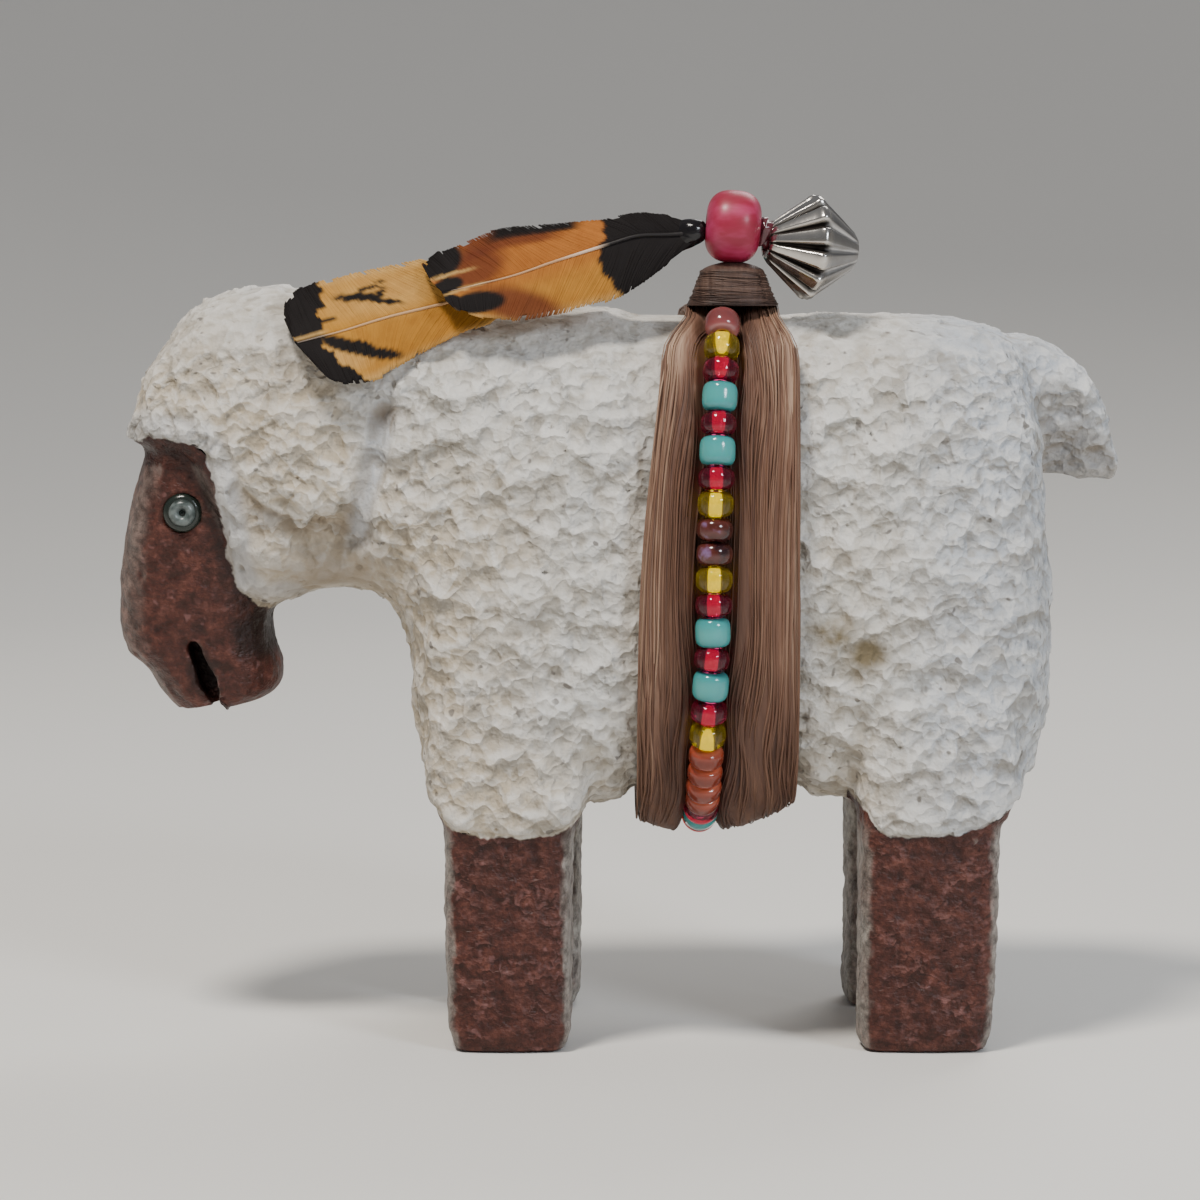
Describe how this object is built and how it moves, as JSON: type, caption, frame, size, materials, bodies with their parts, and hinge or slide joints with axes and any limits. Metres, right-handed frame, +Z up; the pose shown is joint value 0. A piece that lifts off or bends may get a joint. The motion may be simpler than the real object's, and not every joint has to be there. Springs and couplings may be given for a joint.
{
  "type": "sheep fetish carving",
  "caption": "Small carved stone sheep with pecked fleece and smooth dark face and legs, carrying a bundle of sinew, glass beads and feathers.",
  "frame": {"origin": "centre of the bounding box on the ground plane, between the feet", "axes": "+Z up; the sheep faces -X, its left side is -Y and its tail is +X"},
  "size_m": [0.0776, 0.0358, 0.0646],
  "materials": {
    "stone": "pecked off-white fleece, smooth red-brown face and legs",
    "eye": "polished grey bead inlay",
    "sinew": "waxed brown sinew strands",
    "red_glass": "lustrous red glass",
    "silver": "polished fluted silver with dark grooves",
    "feather": "golden tan feather with black bands",
    "wax": "glossy black wax",
    "thread": "dark waxed thread",
    "seed_turquoise": "opaque glossy glass",
    "seed_red": "silver-lined red glass",
    "seed_yellow": "silver-lined yellow glass",
    "seed_brown": "lustred brown glass",
    "seed_rose": "rose glass",
    "seed_orange": "orange-red glass"
  },
  "bodies": {
    "root": {"sheep_carving": "stone", "eye_left": "eye", "eye_right": "eye", "sinew_wrap": "sinew", "sinew_collar": "sinew", "red_bead": "red_glass", "silver_bead": "silver", "bead_cord": "thread", "feather_lower": "feather", "feather_upper": "feather", "feather_binding": "wax", "bead_01": "seed_rose", "bead_02": "seed_yellow", "bead_03": "seed_red", "bead_04": "seed_turquoise", "bead_05": "seed_red", "bead_06": "seed_turquoise", "bead_07": "seed_red", "bead_08": "seed_yellow", "bead_09": "seed_brown", "bead_10": "seed_brown", "bead_11": "seed_yellow", "bead_12": "seed_red", "bead_13": "seed_turquoise", "bead_14": "seed_red", "bead_15": "seed_turquoise", "bead_16": "seed_red", "bead_17": "seed_yellow", "bead_18": "seed_orange", "bead_19": "seed_orange", "bead_20": "seed_orange", "bead_21": "seed_orange", "bead_22": "seed_red", "bead_23": "seed_turquoise", "bead_24": "seed_red", "bead_25": "seed_yellow", "bead_26": "seed_brown", "bead_27": "seed_brown", "bead_28": "seed_yellow", "bead_29": "seed_red", "bead_30": "seed_turquoise", "bead_31": "seed_red", "bead_32": "seed_turquoise", "bead_33": "seed_red", "bead_34": "seed_yellow", "bead_35": "seed_rose", "bead_36": "seed_red", "bead_37": "seed_turquoise", "bead_38": "seed_red", "bead_39": "seed_yellow", "bead_40": "seed_brown", "bead_41": "seed_red", "bead_42": "seed_turquoise", "bead_43": "seed_red", "bead_44": "seed_yellow", "bead_45": "seed_rose", "bead_46": "seed_red", "bead_47": "seed_turquoise", "beads_under_belly": "seed_red", "bead_thread": "thread"}
  },
  "joints": []
}
